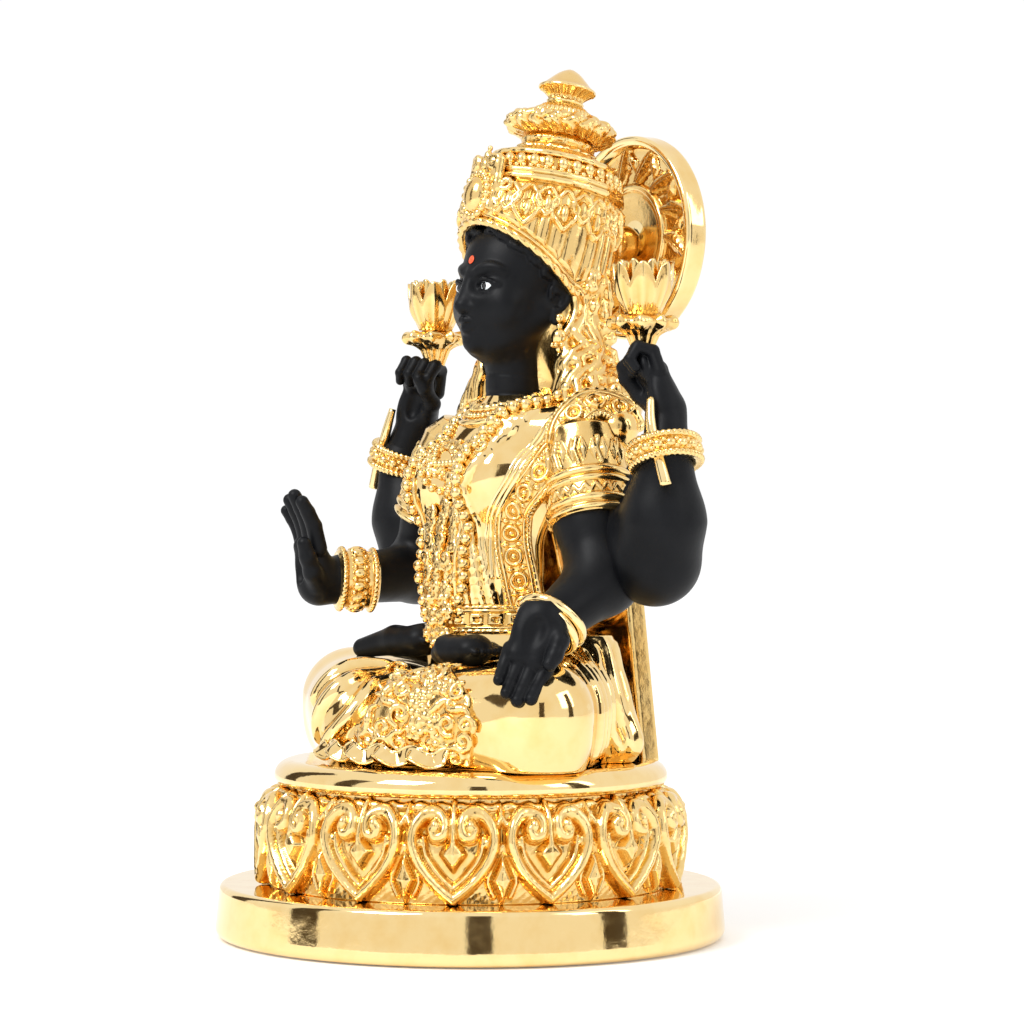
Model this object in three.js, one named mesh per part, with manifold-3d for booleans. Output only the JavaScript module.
// Seated four-armed goddess statuette on a round plinth, as an assembly of cast, plated and painted pieces.
// Millimetres, +Z up. The origin is the centre of the underside, the figure faces -Y and its left side is +X.
import * as THREE from "three";
import { mergeVertices } from "three/addons/utils/BufferGeometryUtils.js";
import Module from "manifold-3d";

const wasm = await Module();
wasm.setup();

// ---------------------------------------------------------------- driving dimensions
const GAP = 0.3; // between pieces that seat in each other
const FACE_GAP = 0.05; // between flat faces stacked on each other

const BASE_R = 42.15;
const BASE_H = 8.9;
const EDGE = 1; // rounding of the base disc's edges
const FELT_R = 40;
const FELT_H = 0.8;

const BAND_R = 36;
const BAND_H = 14.8;
const SHOULDER_R = 33; // top of the band, where its shoulder ends
const NECK_R = 30.3;
const NECK_H = 1.4;
const SEAT_R = 32.6;
const SEAT_H = 4.6;
const SEAT_LIP = 1.3; // height of the seat's widest line over its underside

const BAND_Z = BASE_H + FACE_GAP;
const NECK_Z = BAND_Z + BAND_H + FACE_GAP;
const SEAT_Z = NECK_Z + NECK_H + FACE_GAP;
const SEAT_TOP = SEAT_Z + SEAT_H;

const ROD_R = 1.5;
const ROD_TOP = 62;
const NUT_R = 3.2;
const NUT_H = 2.4;
const WASHER_R = 4.4;
const WASHER_H = 0.8;
const POCKET_R = 5;
const POCKET_H = 4.6;

const CROWN_LEAN = THREE.MathUtils.degToRad(10.6);

// Joint centres of the figure, given for its left side; the right side mirrors x unless it has its own.
const KNEE = [28, -5.5, 38.2];
const HIP = [15, 9.5, 39];
const SHIN_CROSS = [7, -17, 36.5];
const SHOULDER = [18, 9.5, 80];
const ELBOW = [27, 7, 59];
const LOWERED_WRIST = [28.5, -4.5, 52.5];
const RAISED_WRIST = [-21, -9.5, 58.6];
const REAR_SHOULDER = [19, 12.5, 76];
const REAR_ELBOW = [34.2, 12.2, 61.8];
const REAR_WRIST = [38, 11, 79];
const REAR_HAND = [34.4, 12, 89.4];
const LOTUS = [30, 12.5, 100.6];
const HEAD = [0, 8, 108];
const EAR = [9.3, 10.7, 104];
const CROWN_FOOT = [0, 14, 114];
const HALO = [0, 33.6, 117.2];
const HALO_R = 17.4;
const HALO_T = 4.2;

// ---------------------------------------------------------------- finishes
const gold = () => new THREE.MeshStandardMaterial({ color: 0xf2c35a, roughness: 0.12, metalness: 1 });
const skin = () => new THREE.MeshStandardMaterial({ color: 0x16171a, roughness: 0.55, metalness: 0 });
const felt = () => new THREE.MeshStandardMaterial({ color: 0x1c1c1e, roughness: 0.95, metalness: 0 });
const steel = () => new THREE.MeshStandardMaterial({ color: 0xb9bcc0, roughness: 0.35, metalness: 1 });

// ---------------------------------------------------------------- building blocks
const point = ([x, y, z]) => new THREE.Vector3(x, y, z);
const mirrored = ([x, y, z]) => [-x, y, z];
const between = (a, b, t) => a.map((v, i) => v + (b[i] - v) * t);

// A closed three.js geometry as a solid.
function solid(geometry) {
  const bare = geometry.clone();
  bare.deleteAttribute("normal");
  bare.deleteAttribute("uv");
  const merged = mergeVertices(bare, 1e-4);
  return new wasm.Manifold(
    new wasm.Mesh({
      numProp: 3,
      vertProperties: merged.attributes.position.array,
      triVerts: new Uint32Array(merged.index.array),
    }),
  );
}

// Turns a geometry built along +Z to lean back by lean about X and moves it into place.
function placed(geometry, [x, y, z], lean = 0) {
  geometry.rotateX(-lean);
  geometry.translate(x, y, z);
  return solid(geometry);
}

// Turns a geometry built along +Z to point from a towards b and moves it to a.
function aimed(geometry, a, b) {
  const axis = point(b).sub(point(a)).normalize();
  geometry.applyQuaternion(new THREE.Quaternion().setFromUnitVectors(new THREE.Vector3(0, 0, 1), axis));
  geometry.translate(...a);
  return solid(geometry);
}

// An ellipsoid with radii along x, y and z, leaning back by lean.
function ball(centre, [rx, ry, rz], grow = 0, lean = 0, across = 10, down = 6) {
  const geometry = new THREE.SphereGeometry(1, across, down);
  geometry.rotateX(Math.PI / 2);
  geometry.scale(rx + grow, ry + grow, rz + grow);
  return placed(geometry, centre, lean);
}

// A profile [[radius, height], ...] revolved about +Z.
function turned(profile, around = 32) {
  const geometry = new THREE.LatheGeometry(profile.map(([r, h]) => new THREE.Vector2(r, h)), around);
  geometry.rotateX(Math.PI / 2);
  return geometry;
}

// The closed profile of a ring between radii r0 and r1 and heights h0 and h1.
const ringProfile = (r0, r1, h0, h1) => [[r0, h0], [r1, h0], [r1, h1], [r0, h1], [r0, h0]];
const discProfile = (r, h0, h1) => [[0, h0], [r, h0], [r, h1], [0, h1]];

// A round bar from a to b whose ends are half balls of radius ra and rb.
function limb(a, ra, b, rb, grow = 0, around = 9, steps = 2) {
  const length = point(a).distanceTo(point(b));
  const profile = [];
  for (let i = 0; i <= steps; i++) {
    const t = ((i / steps - 1) * Math.PI) / 2;
    profile.push([i ? (ra + grow) * Math.cos(t) : 0, (ra + grow) * Math.sin(t)]);
  }
  for (let i = 0; i <= steps; i++) {
    const t = ((i / steps) * Math.PI) / 2;
    profile.push([i < steps ? (rb + grow) * Math.cos(t) : 0, length + (rb + grow) * Math.sin(t)]);
  }
  return aimed(turned(profile, around), a, b);
}

// A flat strip swept through points, wide along the surface and deep across it.
function strand(points, width, depth, grow = 0, steps = 12) {
  const [w, d] = [width / 2 + grow, depth / 2 + grow];
  const section = new THREE.Shape();
  section.moveTo(d, 0);
  section.lineTo(d * 0.6, w);
  section.lineTo(-d * 0.6, w);
  section.lineTo(-d, 0);
  section.lineTo(-d * 0.6, -w);
  section.lineTo(d * 0.6, -w);
  section.closePath();
  const path = new THREE.CatmullRomCurve3(points.map(point));
  return solid(new THREE.ExtrudeGeometry(section, { steps, bevelEnabled: false, extrudePath: path }));
}

const union = (solids) => solids.reduce((a, b) => a.add(b));
const largest = (made) => made.decompose().reduce((a, b) => (b.volume() > a.volume() ? b : a));

// ---------------------------------------------------------------- plinth
const AXIS = [0, 0, 0];
const BORE_R = ROD_R + GAP;
const plinthRing = (r, h, z, around = 40) => placed(turned(ringProfile(BORE_R, r, 0, h), around), [0, 0, z]);

const feltPad = () => placed(turned(ringProfile(POCKET_R, FELT_R, 0, FELT_H), 48), AXIS);

function baseDisc() {
  const low = FACE_GAP * 4; // the felt stands this far proud of the disc
  const outline = [[BORE_R, low]];
  for (const [quarter, height] of [[-1, low + EDGE], [0, BASE_H - EDGE]]) {
    for (let i = 0; i <= 2; i++) {
      const t = ((i / 2 + quarter) * Math.PI) / 2;
      outline.push([BASE_R - EDGE + EDGE * Math.cos(t), height + EDGE * Math.sin(t)]);
    }
  }
  outline.push([BORE_R, BASE_H], [BORE_R, low]);
  const recess = placed(turned(discProfile(FELT_R + GAP, -1, FELT_H + FACE_GAP), 48), AXIS);
  const pocket = placed(turned(discProfile(POCKET_R, -1, POCKET_H), 20), AXIS);
  return placed(turned(outline, 72), AXIS).subtract(recess).subtract(pocket);
}

const clampWasher = () =>
  placed(turned(ringProfile(BORE_R, WASHER_R, 0, WASHER_H), 16), [0, 0, POCKET_H - FACE_GAP - WASHER_H]);

const clampNut = () =>
  placed(turned(ringProfile(BORE_R, NUT_R, 0, NUT_H), 6), [0, 0, POCKET_H - 2 * FACE_GAP - WASHER_H - NUT_H]);

const tieRod = (g) => placed(turned(discProfile(ROD_R + g, 1 - g, ROD_TOP + g), 12), AXIS);

// The drum that carries the heart scrolls: nearly upright, with a rounded shoulder.
function heartBand() {
  const outline = [[BORE_R, 0], [BAND_R - 0.4, 0], [BAND_R, BAND_H * 0.4]];
  const drop = BAND_H * 0.5;
  for (let i = 1; i <= 3; i++) {
    const t = ((i / 3) * Math.PI) / 2;
    outline.push([SHOULDER_R + (BAND_R - SHOULDER_R) * Math.cos(t), BAND_H - drop + drop * Math.sin(t)]);
  }
  outline.push([BORE_R, BAND_H], [BORE_R, 0]);
  return placed(turned(outline, 48), [0, 0, BAND_Z]);
}

function seatCushion(g) {
  const crown = SEAT_H - SEAT_LIP;
  const outline = [[0, -g], [SEAT_R - SEAT_LIP, -g], [SEAT_R + g, SEAT_LIP]];
  for (let i = 1; i <= 3; i++) {
    const t = ((i / 3) * Math.PI) / 2;
    const r = SEAT_R - crown * (1 - Math.cos(t)) + g * Math.cos(t);
    outline.push([r, SEAT_LIP + (crown - 0.6) * Math.sin(t) + g]);
  }
  outline.push([0, SEAT_H + g]);
  return placed(turned(outline, 44), [0, 0, SEAT_Z]);
}

// ---------------------------------------------------------------- figure: every form grows by g all round
const onSide = (side, p) => (side === "left" ? p : mirrored(p));
const wrist = { left: LOWERED_WRIST, right: RAISED_WRIST };

const legForm = (side) => (g) => [
  limb(onSide(side, HIP), 9.5, onSide(side, KNEE), 8.2, g, 10, 2),
  limb(onSide(side, KNEE), 8, onSide(side, SHIN_CROSS), 6.4, g, 10, 2),
  ball(onSide(side, [17, -6, 36]), [14, 11, 7], g),
];
const apronForm = (g) => [
  limb([5, -13, 41], 4.6, [9, -19, 34], 5.2, g, 10, 2),
  limb([-2, -18, 34], 4, [18, -15, 34], 4, g, 10, 2),
  ball([5, -6, 38], [12, 13, 8.5], g),
];
const hemForm = (g) => {
  const route = [[-18, -14, 31.4], [-6, -22.4, 31.4], [6, -25, 31.4], [17, -22, 31.4], [24, -14, 31.4]];
  return [strand(route, 3.6, 5, g, 16)];
};
const rightFootForm = (g) => [limb([16, -5.4, 47.4], 2.5, [5, -9, 47.4], 2.9, g)];
const leftFootForm = (g) => [limb([-21, -8.5, 47.8], 2.6, [-7.5, -3.8, 48.2], 3.1, g)];

const torsoForm = (g) => [
  ball([0, 5.5, 76], [13.8, 8.8, 12], g, 0, 12, 8),
  ball([6.5, -0.8, 74], [6.2, 6.2, 7], g),
  ball([-6.5, -0.8, 74], [6.2, 6.2, 7], g),
  ball([0, 2.8, 60], [11.6, 8.8, 15.5], g, 0, 12, 6),
  ball([0, 8, 45], [16, 13, 10], g, 0, 12, 5),
  limb([-13, 9.5, 83], 4.6, [13, 9.5, 83], 4.6, g, 10, 2),
];

function beltForm(g) {
  const band = turned(ringProfile(9.4 - g, 12.6 + g, -g, 5 + g), 20);
  band.scale(1, 0.82, 1);
  return [placed(band, [0, 3.2, 50.5])];
}

const upperArmForm = (side) => (g) => [limb(onSide(side, SHOULDER), 5, onSide(side, ELBOW), 5.4, g)];
const sleeveForm = (side) => (g) => [
  limb(onSide(side, SHOULDER), 5.6, onSide(side, between(SHOULDER, ELBOW, 0.34)), 6.8, g, 12, 2),
];
const forearmForm = (side) => (g) => [limb(onSide(side, ELBOW), 5.1, wrist[side], 3.9, g)];
const rearUpperArmForm = (side) => (g) => [
  limb(onSide(side, REAR_SHOULDER), 5, onSide(side, REAR_ELBOW), 6.9, g),
];
const rearForearmForm = (side) => (g) => [
  limb(onSide(side, REAR_ELBOW), 6.8, onSide(side, REAR_WRIST), 4.2, g),
];

const loweredHandForm = (g) => [
  limb(between(LOWERED_WRIST, [29, -9.8, 46.8], 0.3), 3, [29, -9.4, 47.2], 4.2, g),
  limb([29, -9.8, 46.8], 3.9, [29.6, -12.6, 42.2], 2.6, g),
];
const raisedHandForm = (g) => [
  limb([-21, -13, 58.4], 3.6, [-21.4, -18.4, 59.8], 4.4, g),
  limb([-21.4, -19.6, 60.6], 4.6, [-22, -22, 71.6], 3.1, g),
  limb([-18.4, -18.8, 60], 1.9, [-16.6, -20, 67.4], 1.5, g, 8, 2),
];
const rearHandForm = (side) => (g) => [
  limb(onSide(side, between(REAR_WRIST, REAR_HAND, 0.4)), 3.8, onSide(side, REAR_HAND), 5.4, g),
  limb(onSide(side, REAR_HAND), 4.6, onSide(side, between(REAR_HAND, LOTUS, 0.5)), 2.6, g),
];

const bangle = (centre, towards, bore, outside, width) => (g) => {
  const profile = ringProfile(bore - g, outside + g, -width / 2 - g, width / 2 + g);
  return [aimed(turned(profile, 18), centre, towards)];
};
const rearBangleForm = (side) => bangle(onSide(side, REAR_WRIST), onSide(side, REAR_HAND), 3.8, 5.7, 4.2);

// A saucer of wavy petals under an upright bud, with its calyx in the fist.
const lotusForm = (side) => (g) => {
  const lower = [[0, -5 - g], [1.9 + g, -4.6], [3.4 + g, -1.8], [5.5 + g, -0.8]];
  const upper = [[5.2 + g, 0.8], [3 + g, 1.6], [4.4 + g, 4], [5 + g, 7.4], [4.4 + g, 9.4], [0, 9.6 + g]];
  return [placed(turned([...lower, ...upper], 14), onSide(side, LOTUS))];
};
const lotusStemForm = (side) => (g) => [
  limb(onSide(side, [37.4, 8.4, 88]), 0.9, onSide(side, [42.6, 7.9, 74.6]), 1.1, g, 8, 2),
];

const headForm = (g) => [
  ball(HEAD, [9.3, 10.8, 12.2], g, CROWN_LEAN, 14, 8),
  ball([0, 2.4, 100.4], [6, 5.4, 5], g, 0, 10, 6),
  limb([0, 8.4, 86], 4.7, [0, 8.4, 99], 4.8, g, 12, 2),
  limb(mirrored(EAR), 1.7, EAR, 1.7, g, 8, 2),
];

const veilForm = (g) => [
  ball([0, 14.5, 108], [11.6, 8.4, 12], g, 0, 14, 8),
  limb([-8.6, 15, 99], 4.4, [-14, 12.6, 87], 4, g),
  limb([8.6, 15, 99], 4.4, [14, 12.6, 87], 4, g),
  limb([-12, 13.6, 87.4], 4, [-22, 13.4, 83.6], 3.6, g),
  limb([12, 13.6, 87.4], 4, [22, 13.4, 83.6], 3.6, g),
  limb([0, 16.4, 104], 8, [0, 17.4, 84], 7.4, g),
  limb([-6.4, 17, 82], 6, [-8, 20.4, 56], 5, g),
  limb([6.4, 17, 82], 6, [8, 20.4, 56], 5, g),
];

// The crown pieces stand on one axis that leans back with the head.
const crownAt = (h) => [
  CROWN_FOOT[0],
  CROWN_FOOT[1] + h * Math.sin(CROWN_LEAN),
  CROWN_FOOT[2] + h * Math.cos(CROWN_LEAN),
];
const crownPiece = (profile, base, around) => (g) => {
  const grown = profile.map(([r, h], i) => [r ? r + g : 0, h + (i < profile.length / 2 ? -g : g)]);
  return [placed(turned(grown, around), crownAt(base), CROWN_LEAN)];
};
const crownBodyProfile = [[0, 0], [12, 0], [12.4, 5], [11, 12.6], [10.6, 13.6], [8, 14.6], [0, 14.8]];
const crownBodyForm = crownPiece(crownBodyProfile, 0, 28);
const crownTierProfile = [[0, 0], [6.4, 0], [6.6, 3.4], [9.4, 5], [9.4, 6.6], [5.4, 8], [5, 10], [0, 10]];
const crownTierForm = crownPiece(crownTierProfile, 15.2, 24);
const crownFinialProfile = [[0, 0], [3, 0], [3.2, 1], [5, 2.9], [4.7, 3.6], [1, 6.4], [0, 6.5]];
const crownFinialForm = crownPiece(crownFinialProfile, 25.6, 16);
const crownJewelForm = (g) => [ball([0, 3.4, 122.9], [4, 2.6, 5.2], g, CROWN_LEAN, 10, 6)];

const earringForm = (side) => (g) => [ball(onSide(side, [10.6, 10, 98.6]), [1.4, 1.6, 2.6], g, 0, 8, 6)];

const haloSolid = (profile, around, y) => {
  const geometry = turned(profile, around);
  geometry.rotateX(Math.PI / 2);
  geometry.translate(HALO[0], y, HALO[2]);
  return solid(geometry);
};
const HALO_DISH = HALO_R - 1.6; // radius of the recess that holds the leaf ring
const HALO_BACK = 1.6; // thickness of the plate behind the recess
function haloDisc() {
  const depth = HALO_T - HALO_BACK;
  const plate = haloSolid(discProfile(HALO_R, 0, HALO_T), 48, HALO[1] + HALO_T / 2);
  return plate.subtract(haloSolid(discProfile(HALO_DISH, 0, depth + 1), 48, HALO[1] - HALO_T / 2 + depth));
}
const haloLeafRing = () =>
  haloSolid(ringProfile(6.2, HALO_DISH - GAP, 0, 1.2), 40, HALO[1] + HALO_T / 2 - HALO_BACK - FACE_GAP);
const haloPostForm = (g) => [limb([0, 17, 112], 3.4, [0, HALO[1] - 4.4, HALO[2] - 1], 3.4, g, 12, 2)];

const necklaceForm = (g) => {
  const half = [[12, 9, 88.6], [9.4, -0.6, 86], [5.6, -6.8, 80.5]];
  return [strand([...half, [0, -9.6, 75], ...half.map(mirrored).reverse()], 4, 3.4, g, 16)];
};
const garlandForm = (g) => [
  limb([5.8, -6, 74], 1.6, [4.6, -5.4, 56], 1.7, g, 8, 2),
  limb([-5.8, -6, 74], 1.6, [-4.6, -5.4, 56], 1.7, g, 8, 2),
  limb([0, -4.8, 72], 3.2, [0, -5, 56], 3.2, g, 8, 2),
  ball([0.6, -6, 51.4], [5.4, 3, 4.6], g, 0, 10, 6),
];
const chokerForm = (g) => [aimed(turned(ringProfile(5 - g, 9 + g, -1 - g, 1 + g), 20), [0, 8, 88.4], [0, 6.6, 98])];

const sashForm = (g) => {
  const shoulderRun = [[23.4, 15.4, 87], [20.4, 10, 86], [17.4, 5.2, 80]];
  const route = [...shoulderRun, [14.6, 1, 72.7], [12.2, 0.8, 65.5], [11.2, 2.8, 57]];
  return [strand(route, 6.4, 2.6, g, 14)];
};

// An upright slab behind the figure, tapering upwards, with bevelled edges.
function backDrapeForm() {
  const [low, high, bevel] = [15.2, 13.2, 0.8];
  const foot = SEAT_TOP - 1.6;
  const shape = new THREE.Shape();
  shape.moveTo(-low, foot);
  shape.lineTo(low, foot);
  shape.lineTo(high, 57);
  shape.lineTo(-high, 57);
  shape.closePath();
  const options = { depth: 3, bevelEnabled: true, bevelSize: bevel, bevelThickness: bevel, bevelSegments: 1 };
  const geometry = new THREE.ExtrudeGeometry(shape, options);
  geometry.rotateX(Math.PI / 2);
  geometry.translate(0, 26.4, 0);
  return [solid(geometry)];
}

// ---------------------------------------------------------------- assembly
// A form keeps its shape where it is listed first: every later neighbour is cut back by GAP around it,
// which makes the sockets that the pieces seat in.
const bothSides = (name, form, material) => [
  [`${name[0]}left_${name[1]}`, form("left"), material],
  [`${name[0]}right_${name[1]}`, form("right"), material],
];
const figure = [
  ["tie_rod", (g) => [tieRod(g)], steel],
  ["seat_cushion", (g) => [seatCushion(g)], gold],
  ...bothSides(["", "lotus_flower"], lotusForm, gold),
  ...bothSides(["", "lotus_stem"], lotusStemForm, gold),
  ["front_left_hand", loweredHandForm, skin],
  ["front_right_hand", raisedHandForm, skin],
  ...bothSides(["rear_", "hand"], rearHandForm, skin),
  ...bothSides(["front_", "forearm"], forearmForm, skin),
  ...bothSides(["rear_", "forearm"], rearForearmForm, skin),
  ...bothSides(["front_", "upper_arm"], upperArmForm, skin),
  ...bothSides(["rear_", "upper_arm"], rearUpperArmForm, skin),
  ["front_left_bangle", bangle(LOWERED_WRIST, [28.8, -8, 49.2], 3.6, 5.8, 3.4), gold],
  ["front_right_bangle", bangle(RAISED_WRIST, [-21, -16, 58.8], 3.8, 5.4, 6.6), gold],
  ...bothSides(["rear_", "bangle"], rearBangleForm, gold),
  ["head", headForm, skin],
  ...bothSides(["", "earring"], earringForm, gold),
  ["crown_finial", crownFinialForm, gold],
  ["crown_tier", crownTierForm, gold],
  ["crown_jewel", crownJewelForm, gold],
  ["crown_body", crownBodyForm, gold],
  ["left_foot", leftFootForm, skin],
  ["right_foot", rightFootForm, skin],
  ["lap_apron", apronForm, gold],
  ["apron_hem", hemForm, gold],
  ...bothSides(["", "leg_robe"], legForm, gold),
  ...bothSides(["", "sleeve"], sleeveForm, gold),
  ["choker", chokerForm, gold],
  ["chest_garland", garlandForm, gold],
  ["necklace", necklaceForm, gold],
  ["shoulder_sash", sashForm, gold],
  ["waist_belt", beltForm, gold],
  ["torso", torsoForm, gold],
  ["halo_post", haloPostForm, gold],
  ["veil", veilForm, gold],
  ["back_drape", backDrapeForm, gold],
];

const group = new THREE.Group();

function addNode(name, made, material) {
  const mesh = made.getMesh();
  const geometry = new THREE.BufferGeometry();
  geometry.setAttribute("position", new THREE.BufferAttribute(new Float32Array(mesh.vertProperties), 3));
  geometry.setIndex(new THREE.BufferAttribute(new Uint32Array(mesh.triVerts), 1));
  geometry.computeVertexNormals();
  const node = new THREE.Mesh(geometry, material());
  node.name = name;
  group.add(node);
}

addNode("felt_pad", feltPad(), felt);
addNode("base_disc", baseDisc(), gold);
addNode("clamp_washer", clampWasher(), steel);
addNode("clamp_nut", clampNut(), steel);
addNode("heart_scroll_band", heartBand(), gold);
addNode("seat_neck_ring", plinthRing(NECK_R, NECK_H, NECK_Z), gold);
addNode("halo_disc", haloDisc(), gold);
addNode("halo_leaf_ring", haloLeafRing(), gold);

const taken = [];
for (const [name, form, material] of figure) {
  let made = union(form(0));
  for (const neighbour of taken) made = made.subtract(neighbour);
  addNode(name, largest(made), material);
  taken.push(union(form(GAP)));
}

export default group;
